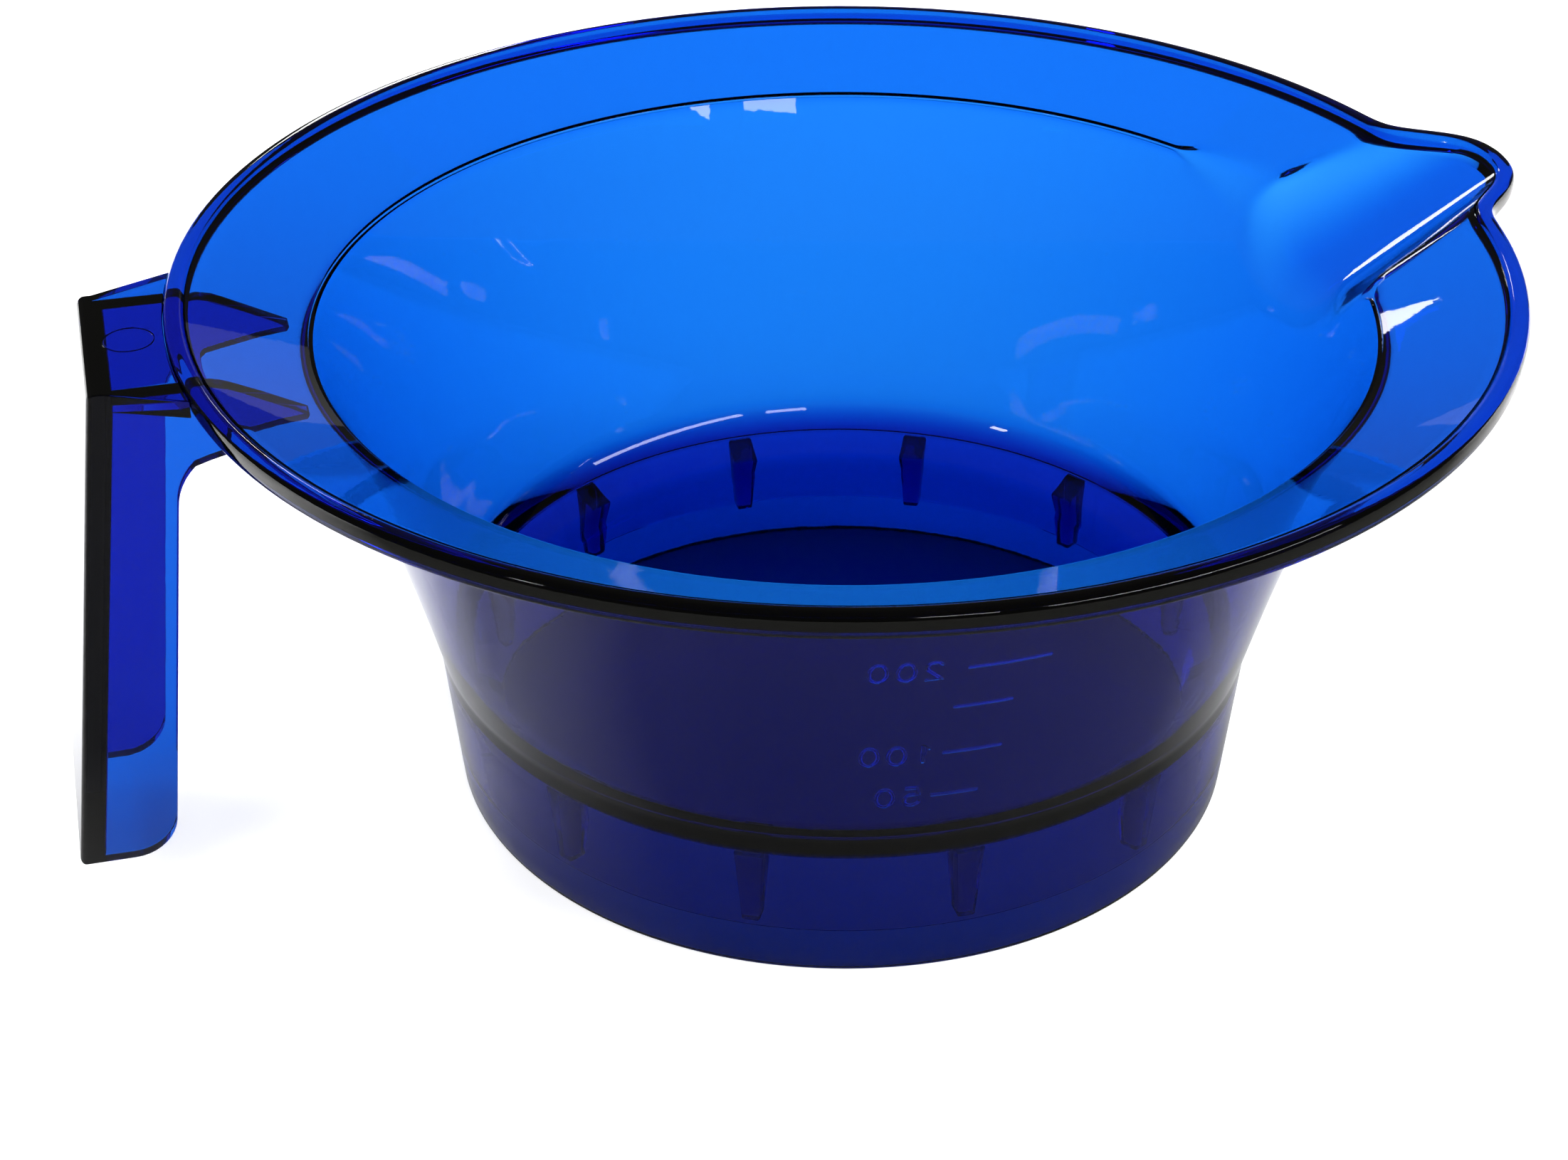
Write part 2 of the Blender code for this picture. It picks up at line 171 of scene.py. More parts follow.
def rimAngle(turned):
    # where on the rim the line that leaves the crease at this angle ends
    side = abs(turned)
    if side <= spout["creaseHalf"]:
        swung = side * spout["rimHalf"] / spout["creaseHalf"]
    elif side <= spout["fade"]:
        share = (side - spout["creaseHalf"]) / (spout["fade"] - spout["creaseHalf"])
        swung = spout["rimHalf"] + (spout["fade"] - spout["rimHalf"]) * share
    else:
        swung = side
    return math.copysign(swung, turned)


def channelDepth(turned):
    # 1 in the middle of the spout, 0 at its edges
    return max(0.0, 1.0 - (abs(turned) / spout["creaseHalf"]) ** spout["channelPower"])


def tipLift(turned):
    # the lip climbs a little towards the tip
    share = max(0.0, 1.0 - abs(turned) / spout["rimHalf"])
    return spout["tipRise"] * share * share * (3 - 2 * share)


def bendPoints(before, corner, after, steps):
    # a curved bend from before to after round the corner, both ends included
    made = []
    for i in range(steps + 1):
        u = i / steps
        made.append(before * (1 - u) ** 2 + corner * (2 * u * (1 - u)) + after * u**2)
    return made


def arcPoints(centre, radius, first, last, steps):
    made = []
    for i in range(steps + 1):
        angle = math.radians(first + (last - first) * i / steps)
        made.append((centre[0] + radius * math.cos(angle), centre[1] + radius * math.sin(angle)))
    return made


def insideSection():
    # floor and fillet: the same all round, from the axis out to where the wall starts
    centre = (bowl["floorRadius"], bowl["floorTop"] + bowl["corner"])
    lean = math.degrees(math.atan(wallSlope(22.0)))
    flat = [(bowl["floorRadius"] * i / 8, bowl["floorTop"]) for i in range(1, 8)]
    return flat + arcPoints(centre, bowl["corner"], -90.0, -lean, 14)


def undersideSection():
    # kink, skirt, foot, inside of the skirt and underside of the dish, from the wall to the axis
    e = bowl["edge"]
    foot, high = bowl["footRadius"], bowl["footHeight"]
    inFoot = foot - bowl["footThick"]
    made = [(bowl["kinkRadius"] + 0.11, bowl["kinkZ"] + 0.4), (bowl["kinkRadius"] - 0.01, bowl["kinkZ"])]
    for i in range(1, 9):
        z = bowl["kinkZ"] - 0.5 - (bowl["kinkZ"] - 0.5 - e) * (i - 1) / 7
        made.append((skirtOuter(z), z))
    # the foot's lower edge, both corners rounded
    made += arcPoints((foot - e, e), e, -15.0, -90.0, 4)
    made += arcPoints((inFoot + e, e), e, -90.0, -180.0, 4)
    made.append((skirtOuter(high) - bowl["footThick"], high - 0.2))
    made.append((skirtOuter(high) - bowl["footThick"] - 0.15, high))
    made.append((skirtOuter(high) - bowl["skin"] + 0.1, high))
    made.append((skirtOuter(high) - bowl["skin"], high + 0.15))
    under = bowl["corner"] + bowl["skin"]
    centre = (bowl["floorRadius"], bowl["floorTop"] + bowl["corner"])
    start = high + 0.15
    for i in range(1, 7):
        z = start + (bowl["gapRoof"] - start) * i / 6
        made.append((skirtOuter(z) - bowl["skin"], z))
    made += [(44.05, 15.42), (43.75, 15.45)]  # small fillet in the roof of the gap
    made += arcPoints(centre, under, -48.5, -90.0, 10)
    made += [(bowl["floorRadius"] * i / 8, bowl["floorTop"] - bowl["skin"]) for i in range(7, 0, -1)]
    return made


def beadSection(turned, depth, lift):
    # rounded rim, from its inner groove over the top to the underside of the flange
    here, outward = rimPoint(turned)
    halfWide = bowl["beadWidth"] / 2 - 0.05
    halfHigh = bowl["beadHeight"] / 2
    middleZ = rimTop - halfHigh + lift
    power = 2.0 / bowl["beadSquare"]
    start = bowl["flangeEndZ"] - spout["rimDrop"] * depth + lift
    groove = Vector((0, 0, start - 0.2 * (1 - depth)))
    made = [here - outward * (bowl["beadWidth"] - 0.2) + groove]
    steps = 32
    for i in range(steps + 1):
        angle = math.radians(126.0 - 262.0 * i / steps)
        across = math.copysign(abs(math.cos(angle)) ** power, math.cos(angle))
        up = math.copysign(abs(math.sin(angle)) ** power, math.sin(angle))
        made.append(here - outward * (halfWide - halfWide * across) + Vector((0, 0, middleZ + halfHigh * up)))
    return made


def wallAndFlange(turned):
    # (inside line, rim, outside line) of one section, as points about the bowl's axis
    depth = channelDepth(turned)
    creaseZ = bowl["creaseZ"] - spout["creaseDrop"] * depth
    crease = polar(innerRadius(creaseZ), turned, creaseZ)
    out = rimAngle(turned)
    here, outward = rimPoint(out)
    end = here - outward * bowl["beadWidth"]
    lift = tipLift(out)
    end.z = bowl["flangeEndZ"] - spout["rimDrop"] * depth + lift
    reach = spout["creaseHalf"] + (spout["farBlend"] if turned > 0 else spout["nearBlend"])
    near = max(0.0, 1.0 - abs(turned) / reach)
    blend = min(1.0, 2.5 * near)
    size = spout["roundPlain"] + (spout["roundSpout"] - spout["roundPlain"]) * blend
    into = polar(0.72, turned, -0.69) * (bowl["creaseGroove"] * (1.0 - blend))
    startZ = creaseZ - size
    heights = [bowl["filletEnd"] + (startZ - bowl["filletEnd"]) * i / 22 for i in range(23)]
    inside = [polar(innerRadius(z), turned, z) for z in heights]
    run = (end - crease).normalized()
    inside += bendPoints(inside[-1], crease + into, crease + run * size, 8)[1:]
    leave = inside[-1]
    inside += [leave.lerp(end, i / 12) for i in range(1, 13)]
    # the outside is the same line, moved down and outwards by the wall's thickness
    flat = Vector((run.x, run.y, 0.0)).length
    drop = bowl["skin"] / flat * (1.0 + 0.15 * depth)
    slant = run.z / flat
    length = Vector((end.x - crease.x, end.y - crease.y, 0.0)).length
    low, high = 0.0, length
    for _ in range(30):
        probe = (low + high) / 2
        spot = crease.lerp(end, probe / length)
        z = creaseZ + slant * probe - drop
        if Vector((spot.x, spot.y, 0.0)).length > outerRadius(z):
            high = probe
        else:
            low = probe
    corner = crease.lerp(end, low / length)
    corner.z -= drop
    last = end - Vector((0, 0, drop))
    reach = (last - corner).normalized()
    bend = 0.9 + 2.2 * blend
    angle = math.degrees(math.atan2(corner.y, corner.x))
    outside = [last.lerp(corner + reach * bend, i / 11) for i in range(12)]
    foot = polar(outerRadius(corner.z - bend), angle, corner.z - bend)
    outside += bendPoints(outside[-1], corner, foot, 7)[1:]
    bottomZ = bowl["kinkZ"] + 1.2
    for i in range(1, 25):
        share = i / 24
        z = corner.z - bend + (bottomZ - corner.z + bend) * share
        outside.append(polar(outerRadius(z), angle + (turned - angle) * share, z))
    return inside, beadSection(out, depth, lift), outside


def sectionAt(turned):
    inside, rim, outside = wallAndFlange(turned)
    floorLine = [polar(r, turned, z) for r, z in insideSection()]
    underLine = [polar(r, turned, z) for r, z in undersideSection()]
    return floorLine + inside + rim + outside + underLine


def newObject(name, bm):
    mesh = bpy.data.meshes.new(name)
    bm.to_mesh(mesh)
    bm.free()
    made = bpy.data.objects.new(name, mesh)
    bpy.context.scene.collection.objects.link(made)
    return made


def addPiece(name, bm, nodes, sharp=32.0):
    # from millimetres about the bowl's axis to metres in the frame, then onto the body
    bmesh.ops.recalc_face_normals(bm, faces=bm.faces)
    for vert in bm.verts:
        vert.co = (vert.co + Vector((axisX, 0, 0))) * mm
    piece = newObject(name, bm)
    piece.data.shade_smooth()
    piece.data.set_sharp_from_angle(angle=math.radians(sharp))
    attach(piece, "root")
    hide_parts(*nodes)
    return piece


def joinSections(bm, rings):
    for first, second in zip(rings, rings[1:] + rings[:1]):
        for i in range(len(first) - 1):
            bm.faces.new((first[i], first[i + 1], second[i + 1], second[i]))


def joinRings(bm, first, second):
    count = len(first)
    for i in range(count):
        j = (i + 1) % count
        bm.faces.new((first[i], first[j], second[j], second[i]))


def capRings(bm, first, last):
    bm.faces.new(first)
    bm.faces.new(list(reversed(last)))


def helperObject(name, outline, low, high, axis):
    # outline of flat points pushed out along the axis "y" or "z"
    bm = bmesh.new()
    rings = []
    for level in (low, high):
        if axis == "y":
            rings.append([bm.verts.new((x, level, z)) for x, z in outline])
        else:
            rings.append([bm.verts.new((x, y, level)) for x, y in outline])
    joinRings(bm, *rings)
    capRings(bm, *rings)
    bmesh.ops.recalc_face_normals(bm, faces=bm.faces)
    return newObject(name, bm)


def bakedMesh(obj):
    # the mesh with its modifiers applied
    graph = bpy.context.evaluated_depsgraph_get()
    graph.update()
    return bpy.data.meshes.new_from_object(obj.evaluated_get(graph))


def buildShell():
    # sections stand close together round the spout and further apart elsewhere
    fine, coarse = 0.5, 2.0
    edge = spout["fade"] + 2.0
    angles = []
    turned = -edge
    while turned < 360.0 - edge - 1e-6:
        angles.append(turned)
        turned += fine if turned < edge - 1e-6 else coarse
    bm = bmesh.new()
    rings = []
    for turned in angles:
        wrapped = turned - 360.0 if turned > 180.0 else turned
        ring = []
        for point in sectionAt(wrapped):
            radius = Vector((point.x, point.y, 0)).length
            angle = math.degrees(math.atan2(point.y, point.x)) + spoutTurn
            ring.append(bm.verts.new(polar(radius, angle, point.z)))
        rings.append(ring)
    joinSections(bm, rings)
    top = bm.verts.new((0, 0, bowl["floorTop"]))
    bottom = bm.verts.new((0, 0, bowl["floorTop"] - bowl["skin"]))
    for i, ring in enumerate(rings):
        after = rings[(i + 1) % len(rings)]
        bm.faces.new((top, ring[0], after[0]))
        bm.faces.new((bottom, after[-1], ring[-1]))
    nodes = ["bowl_wall", "bowl_floor", "base_skirt", "foot_ring", "rim_flange", "rim_bead"]
    nodes += ["pour_spout", "spout_lip"]
    addPiece("bowlShell", bm, nodes)


handle = {
    "grip": 2.7,  # thickness of the outer plate
    "cheek": 2.2,
    "top": 1.95,
    "wing": 1.5,  # the top plate starts to widen this far from the grip's outer face
    "topHalf": 14.8,  # half-width where the top plate meets the rim
    "foot": 4.7,  # height of the lower end above the table
    "toe": 5.0,  # radius of the cheeks' lower corner
    "toeX": -82.4,
    "filletCentre": (-65.9, 47.0),  # large inside corner between cheek and bowl
    "fillet": 7.0,
    "webUnderside": ((-69.2, 52.6), (-66.0, 53.4), (-62.5, 54.2), (-59.6, 54.6)),
    "webTop": (-59.3, -70.6),  # the web follows the flange between these distances from the axis
    "flangeInner": (58.5, 54.4),  # radius and height of the flange's underside at its two ends
    "flangeOuter": (68.9, 59.95),
    "hollowEnd": -50.0,  # how far the cutter for the channel reaches towards the bowl
    "hollowLow": -9.0,
    "corner": 0.7,  # rounding of the grip's outer edges
    "bevel": 0.2,
    "gap": 0.05,  # air left between separate pieces
    "pinX": -75.6,  # ejector pin mark on the top plate
    "pinRadius": 2.6,
    "pinLine": 0.14,
}


def gripLine(z, inset=0.0):
    share = (handleTop - z) / (handleTop - handle["foot"])
    topX = handle["topX"]
    return topX + (-handleReach - topX) * share + inset


def flangeUnder(radius):
    # height just below the flange's underside at this distance from the axis
    inner, outer = handle["flangeInner"], handle["flangeOuter"]
    slope = (outer[1] - inner[1]) / (outer[0] - inner[0])
    height = inner[1] + slope * (radius - inner[0]) - handle["gap"]
    return min(height, handleTop - handle["top"])


def cheekOutline():
    low = handle["foot"]
    toe = handle["toe"]
    made = [(gripLine(handleTop), handleTop), (gripLine(low), low)]
    made += arcPoints((handle["toeX"], low + toe), toe, -90.0, -10.0, 9)
    made += arcPoints(handle["filletCentre"], handle["fillet"], 176.0, 133.0, 6)
    made += handle["webUnderside"]
    first, last = handle["webTop"]
    for i in range(7):
        x = first + (last - first) * i / 6
        made.append((x, flangeUnder(math.hypot(x, handleHalf - handle["cheek"]))))
    edge = bowl["rimRadius"] + 0.15
    made += [(-edge, handleTop - handle["top"]), (-edge, handleTop)]
    return made


def topOutline():
    edge = bowl["rimRadius"] + handle["gap"]
    made = [(handle["topX"] + handle["wing"], -handleHalf)]
    for i in range(17):
        y = handle["topHalf"] * (i / 8 - 1)
        made.append((-math.sqrt(edge**2 - y**2), y))
    made.append((handle["topX"] + handle["wing"], handleHalf))
    return made


def ringCutter(name, x, radius, z):
    # thin ring with a diamond section, which leaves the round mark of an ejector pin
    bm = bmesh.new()
    steps = 48
    half = handle["pinLine"]
    rings = []
    for i in range(steps):
        angle = 2 * math.pi * i / steps
        ring = []
        for out, up in ((half, 0.0), (0.0, half), (-half, 0.0), (0.0, -half)):
            spot = Vector((math.cos(angle), math.sin(angle), 0.0)) * (radius + out)
            ring.append(bm.verts.new((spot.x + x, spot.y, z + up)))
        rings.append(ring)
    for i in range(steps):
        joinRings(bm, rings[i], rings[(i + 1) % steps])
    bmesh.ops.recalc_face_normals(bm, faces=bm.faces)
    return newObject(name, bm)


def roundOuterEdges(block):
    # the four edges of the grip's outer face, rounded more than the rest
    mesh = bakedMesh(block)
    block.modifiers.clear()
    bm = bmesh.new()
    bm.from_mesh(mesh)
    bmesh.ops.remove_doubles(bm, verts=bm.verts, dist=0.001)
    bmesh.ops.dissolve_limit(bm, angle_limit=0.002, verts=bm.verts, edges=bm.edges)
    outer = [e for e in bm.edges if all(v.co.x < gripLine(v.co.z) + 0.02 for v in e.verts)]
    print("shortest edge %.3f mm, outer edges %d" % (min(e.calc_length() for e in bm.edges), len(outer)))
    bmesh.ops.bevel(bm, geom=outer, offset=handle["corner"], segments=5, affect="EDGES", profile=0.5)
    bm.to_mesh(mesh)
    bm.free()
    block.data = mesh


def buildHandle():
    handle["topX"] = topLow.x / mm - axisX
    block = helperObject("handleBlock", cheekOutline(), -handleHalf, handleHalf, "y")
    under = handleTop - handle["top"]
    low, end = handle["hollowLow"], handle["hollowEnd"]
    inner = [(gripLine(under, handle["grip"]), under), (gripLine(low, handle["grip"]), low)]
    inner += [(end, low), (end, under)]
    room = handleHalf - handle["cheek"]
    hollow = helperObject("handleHollow", inner, -room, room, "y")
    plate = helperObject("handlePlate", topOutline(), under, handleTop, "z")
    ring = ringCutter("pinRing", handle["pinX"], handle["pinRadius"], handleTop)
    for helper, action in ((hollow, "DIFFERENCE"), (plate, "UNION")):
        cut = block.modifiers.new(action.lower(), "BOOLEAN")
        cut.operation = action
        cut.solver = "EXACT"
        cut.object = helper
    roundOuterEdges(block)
    soften = block.modifiers.new("edges", "BEVEL")
    soften.width = handle["bevel"]
    soften.segments = 2
    soften.limit_method = "ANGLE"
    soften.angle_limit = math.radians(32.0)
    groove = block.modifiers.new("pin", "BOOLEAN")
    groove.operation = "DIFFERENCE"
    groove.solver = "EXACT"
    groove.object = ring
    mesh = bakedMesh(block)
    bm = bmesh.new()
    bm.from_mesh(mesh)
    bmesh.ops.remove_doubles(bm, verts=bm.verts, dist=0.001)
    for helper in (block, hollow, plate, ring):
        bpy.data.objects.remove(helper, do_unlink=True)
    bpy.data.meshes.remove(mesh)
    loose = [e for e in bm.edges if len(e.link_faces) != 2]
    print("handle edges that are not shared by two faces:", len(loose))
    nodes = ["handle_grip_plate", "handle_top_plate", "handle_side_front", "handle_side_back"]
    nodes += ["gusset_front", "gusset_back"]
    piece = addPiece("handleBody", bm, nodes, 50.0)
    flats = piece.modifiers.new("flatFaces", "WEIGHTED_NORMAL")
    flats.keep_sharp = True


ribs = {
    "count": 12,
    "first": 2.5,  # degrees
    "topWide": 3.1,
    "lowWide": 1.9,
    "deep": 3.4,
    "low": 5.35,
    "gap": 0.05,
    "bevel": 0.25,
}


def ribSection():
    # (radius, z, half-width) round one rib, following the skirt and the dish's underside
    gap = ribs["gap"]
    centre = (bowl["floorRadius"], bowl["floorTop"] + bowl["corner"])
    under = bowl["corner"] + bowl["skin"] + gap

    def roof(radius):
        return centre[1] - math.sqrt(under**2 - (radius - centre[0]) ** 2)

    outer = skirtOuter(ribs["low"]) - bowl["skin"] - gap
    high = skirtOuter(15.0) - bowl["skin"] - gap - 0.15
    wide, slim = ribs["topWide"] / 2, ribs["lowWide"] / 2
    made = [(outer, ribs["low"], slim), (high, roof(high) - 0.25, wide)]
    for i in range(1, 5):
        radius = high - ribs["deep"] * i / 4
        made.append((radius, roof(radius) - gap, wide))
    made.append((outer - 0.6 * ribs["deep"], ribs["low"], slim))
    return made


def buildRibs():
    section = ribSection()
    for index in range(ribs["count"]):
        degrees = ribs["first"] + 360.0 * index / ribs["count"]
        along = polar(1.0, degrees)
        across = Vector((-along.y, along.x, 0.0))
        bm = bmesh.new()
        rings = []
        for side in (-1, 1):
            ring = [along * r + across * (side * half) + Vector((0, 0, z)) for r, z, half in section]
            rings.append([bm.verts.new(point) for point in ring])
        joinRings(bm, *rings)
        capRings(bm, *rings)
        bmesh.ops.recalc_face_normals(bm, faces=bm.faces)
        edges = [e for e in bm.edges if e.calc_face_angle(0.0) > math.radians(40.0)]
        bmesh.ops.bevel(bm, geom=edges, offset=ribs["bevel"], segments=2, affect="EDGES", profile=0.5)
        addPiece("skirtRib%02d" % (index + 1), bm, ["skirt_rib_%02d" % (index + 1)])


marks = {
    "heights": {"50": 24.3, "100": 30.7, "150": 37.6, "200": 43.5},
    "lengths": {"50": 4.8, "100": 6.0, "150": 6.0, "200": 8.4},
    "tickStarts": {"50": -94.0, "100": -93.2, "150": -92.7, "200": -91.8},  # degrees round the bowl
    "numeralStarts": {"50": -96.4, "100": -95.4, "200": -95.4},
    "digitHigh": 2.6,
    "digitWide": 1.7,
    "pitch": 2.7,
    "stroke": 0.2,  # half-width of a raised line
    "proud": 0.22,
    "gap": 0.03,
}


def strokePoints(digit):
    # middle line of a digit in a box one unit wide and high, and whether it closes
    if digit == "0":
        turn = [2 * math.pi * i / 24 for i in range(24)]
        return [(0.5 * math.cos(a), 0.5 * math.sin(a)) for a in turn], True
    if digit == "1":
        return [(-0.3, 0.25), (0.05, 0.5), (0.05, -0.5)], False
    if digit == "2":
        arc = [math.radians(160 - 22 * i) for i in range(10)]
        top = [(0.45 * math.cos(a), 0.23 + 0.27 * math.sin(a)) for a in arc]
        return top + [(-0.45, -0.5), (0.5, -0.5)], False
    arc = [math.radians(112 - 25 * i) for i in range(12)]
    low = [(-0.02 + 0.45 * math.cos(a), -0.19 + 0.31 * math.sin(a)) for a in arc]
    return [(0.42, 0.5), (-0.33, 0.5), (-0.4, 0.04)] + low, False


def wallFrame(across, z, angle):
    # point on the inside of the wall and the direction that leaves it
    radius = innerRadius(z)
    degrees = angle - math.degrees(across / radius)
    lean = math.atan(wallSlope(z))
    away = -polar(math.cos(lean), degrees, 0.0)
    away.z = math.sin(lean)
    return polar(radius, degrees, z), away


def raisedLine(name, path, closed, angle, node):
    # half-round line that stands on the wall along the (across, z) path
    spots = [wallFrame(across, z, angle) for across, z in path]
    count = len(spots)
    half, proud, gap = marks["stroke"], marks["proud"], marks["gap"]
    shape = [(-1.0, 0.0), (-0.9, 0.45), (-0.5, 0.86), (0.0, 1.0), (0.5, 0.86), (0.9, 0.45), (1.0, 0.0)]
    bm = bmesh.new()
    rings = []
    for i, (spot, away) in enumerate(spots):
        before = spots[i - 1][0] if closed or i else spot
        after = spots[(i + 1) % count][0] if closed or i < count - 1 else spot
        along = (after - before).normalized()
        side = along.cross(away).normalized()
        if 0 < i < count - 1 or closed:
            first = (spot - before).normalized()
            second = (after - spot).normalized()
            miter = 1.0 / max(0.6, math.cos(first.angle(second) / 2))
        else:
            miter = 1.0
        ring = []
        for u, v in shape:
            ring.append(bm.verts.new(spot + side * (u * half * miter) + away * (gap + v * proud)))
        rings.append(ring)
    pairs = list(zip(rings, rings[1:]))
    if closed:
        pairs.append((rings[-1], rings[0]))
    for first, second in pairs:
        joinRings(bm, first, second)
    if not closed:
        capRings(bm, rings[0], rings[-1])
    addPiece(name, bm, [node])


def buildMarks():
    for label, height in marks["heights"].items():
        span = marks["lengths"][label]
        path = [(-span * i / 8, height) for i in range(9)]
        start = marks["tickStarts"][label]
        raisedLine("tick" + label, path, False, start, "graduation_tick_" + label)
    for label, start in marks["numeralStarts"].items():
        for place, digit in enumerate(label):
            shape, closed = strokePoints(digit)
            high = marks["heights"][label]
            path = []
            for u, v in shape:
                path.append((place * marks["pitch"] + u * marks["digitWide"], high + v * marks["digitHigh"]))
            name = "numeral%sDigit%d" % (label, place + 1)
            node = "numeral_%s_digit_%d" % (label, place + 1)
            raisedLine(name, path, closed, start, node)


def newGroup(name, inputs, outputs):
    group = bpy.data.node_groups.new(name, "ShaderNodeTree")
    for label, kind, value in inputs:
        socket = group.interface.new_socket(label, in_out="INPUT", socket_type=kind)
        if value is not None:
            socket.default_value = value
    for label, kind in outputs:
        group.interface.new_socket(label, in_out="OUTPUT", socket_type=kind)
    start = group.nodes.new("NodeGroupInput")
    end = group.nodes.new("NodeGroupOutput")
    return group, start, end


def addNode(tree, kind, **values):
    node = tree.nodes.new(kind)
    for key, value in values.items():
        setattr(node, key, value)
    return node


def setInputs(node, **values):
    for key, value in values.items():
        node.inputs[key.replace("_", " ")].default_value = value


def mathNode(tree, operation, first, second):
    node = addNode(tree, "ShaderNodeMath", operation=operation)
    for socket, value in zip(node.inputs, (first, second)):
        if isinstance(value, (int, float)):
            socket.default_value = value
        else:
            tree.links.new(value, socket)
    return node.outputs[0]


def polishGroup():
    # roughness of handled clear plastic: a polished base, faint smudges and hair-fine scratches
    inputs = [
        ("Polish", "NodeSocketFloat", 0.02),
        ("Smudge", "NodeSocketFloat", 0.05),
        ("Scratch", "NodeSocketFloat", 0.08),
        ("Smudge Scale", "NodeSocketFloat", 60.0),
        ("Scratch Scale", "NodeSocketFloat", 900.0),
    ]
    group, start, end = newGroup("polishedPlastic", inputs, [("Roughness", "NodeSocketFloat")])
    place = addNode(group, "ShaderNodeTexCoord")
    patches = addNode(group, "ShaderNodeTexNoise")
    setInputs(patches, Detail=4.0, Roughness=0.55)
    group.links.new(place.outputs["Object"], patches.inputs["Vector"])
    group.links.new(start.outputs["Smudge Scale"], patches.inputs["Scale"])
    mask = addNode(group, "ShaderNodeMapRange")
    setInputs(mask, From_Min=0.52, From_Max=0.74)
    group.links.new(patches.outputs["Fac"], mask.inputs["Value"])
    stretch = addNode(group, "ShaderNodeMapping")
    stretch.inputs["Scale"].default_value = (1.0, 0.06, 0.35)
    stretch.inputs["Rotation"].default_value = (0.4, 0.2, 0.7)
    group.links.new(place.outputs["Object"], stretch.inputs["Vector"])
    hairs = addNode(group, "ShaderNodeTexNoise")
    setInputs(hairs, Detail=3.0, Roughness=0.7)
    group.links.new(stretch.outputs["Vector"], hairs.inputs["Vector"])
    group.links.new(start.outputs["Scratch Scale"], hairs.inputs["Scale"])
    line = addNode(group, "ShaderNodeMapRange")
    setInputs(line, From_Min=0.66, From_Max=0.74)
    group.links.new(hairs.outputs["Fac"], line.inputs["Value"])
    smudged = mathNode(group, "MULTIPLY", mask.outputs[0], start.outputs["Smudge"])
    scratched = mathNode(group, "MULTIPLY", line.outputs[0], start.outputs["Scratch"])
    total = mathNode(group, "ADD", smudged, scratched)
    total = mathNode(group, "ADD", total, start.outputs["Polish"])
    group.links.new(total, end.inputs["Roughness"])
    return group


def mouldGroup():
    # height of the moulding's slow waviness, with a trace of finer orange peel
    inputs = [
        ("Wave", "NodeSocketFloat", 1.0),
        ("Peel", "NodeSocketFloat", 0.1),
        ("Wave Scale", "NodeSocketFloat", 45.0),
        ("Peel Scale", "NodeSocketFloat", 700.0),
    ]
    group, start, end = newGroup("mouldedSurface", inputs, [("Height", "NodeSocketFloat")])
    place = addNode(group, "ShaderNodeTexCoord")
    parts = []
    for scale, amount, detail in (("Wave Scale", "Wave", 1.0), ("Peel Scale", "Peel", 2.0)):
        noise = addNode(group, "ShaderNodeTexNoise")
        setInputs(noise, Detail=detail, Roughness=0.5)
        group.links.new(place.outputs["Object"], noise.inputs["Vector"])
        group.links.new(start.outputs[scale], noise.inputs["Scale"])
        parts.append(mathNode(group, "MULTIPLY", noise.outputs["Fac"], start.outputs[amount]))
    group.links.new(mathNode(group, "ADD", parts[0], parts[1]), end.inputs["Height"])
    return group


finish = {
    "ior": 1.5,
    "stain": (0.0, 0.611, 0.9),  # colour that the absorption lets through
    "density": 2700.0,
    "shell": {"polish": 0.012, "smudge": 0.02, "scratch": 0.05, "wave": 1.0, "bump": 0.06},
    "handle": {"polish": 0.015, "smudge": 0.03, "scratch": 0.08, "wave": 1.0, "bump": 0.08},
    "marks": {"polish": 0.04, "smudge": 0.02, "scratch": 0.02, "wave": 0.6, "bump": 0.05},
}


def clearPlastic(name, values, polish, mould):
    made = bpy.data.materials.new(name)
    made.use_nodes = True
    tree = made.node_tree
    shader = tree.nodes["Principled BSDF"]
    output = tree.nodes["Material Output"]
    shader.inputs["Base Color"].default_value = (1.0, 1.0, 1.0, 1.0)
    setInputs(shader, Metallic=0.0, IOR=finish["ior"])
    shader.inputs["Transmission Weight"].default_value = 1.0
    gloss = addNode(tree, "ShaderNodeGroup", node_tree=polish)
    setInputs(gloss, Polish=values["polish"], Smudge=values["smudge"], Scratch=values["scratch"])
    tree.links.new(gloss.outputs["Roughness"], shader.inputs["Roughness"])
    surface = addNode(tree, "ShaderNodeGroup", node_tree=mould)
    setInputs(surface, Wave=values["wave"])
    bump = addNode(tree, "ShaderNodeBump")
    setInputs(bump, Strength=values["bump"], Distance=0.0004)
    tree.links.new(surface.outputs["Height"], bump.inputs["Height"])
    tree.links.new(bump.outputs["Normal"], shader.inputs["Normal"])
    stain = addNode(tree, "ShaderNodeVolumeAbsorption")
    stain.inputs["Color"].default_value = (*finish["stain"], 1.0)
    stain.inputs["Density"].default_value = finish["density"]
    tree.links.new(stain.outputs["Volume"], output.inputs["Volume"])
    return made


def dressPieces(pieces):
    polish = polishGroup()
    mould = mouldGroup()
    skins = {}
    for kind, label in (("shell", "clearBlueShell"), ("handle", "clearBlueHandle"), ("marks", "raisedMarks")):
        skins[kind] = clearPlastic(label, finish[kind], polish, mould)
    for piece in pieces:
        kind = "shell"
        if piece.name.startswith("handle"):
            kind = "handle"
        elif piece.name.startswith(("tick", "numeral")):
            kind = "marks"
        piece.data.materials.clear()
        piece.data.materials.append(skins[kind])


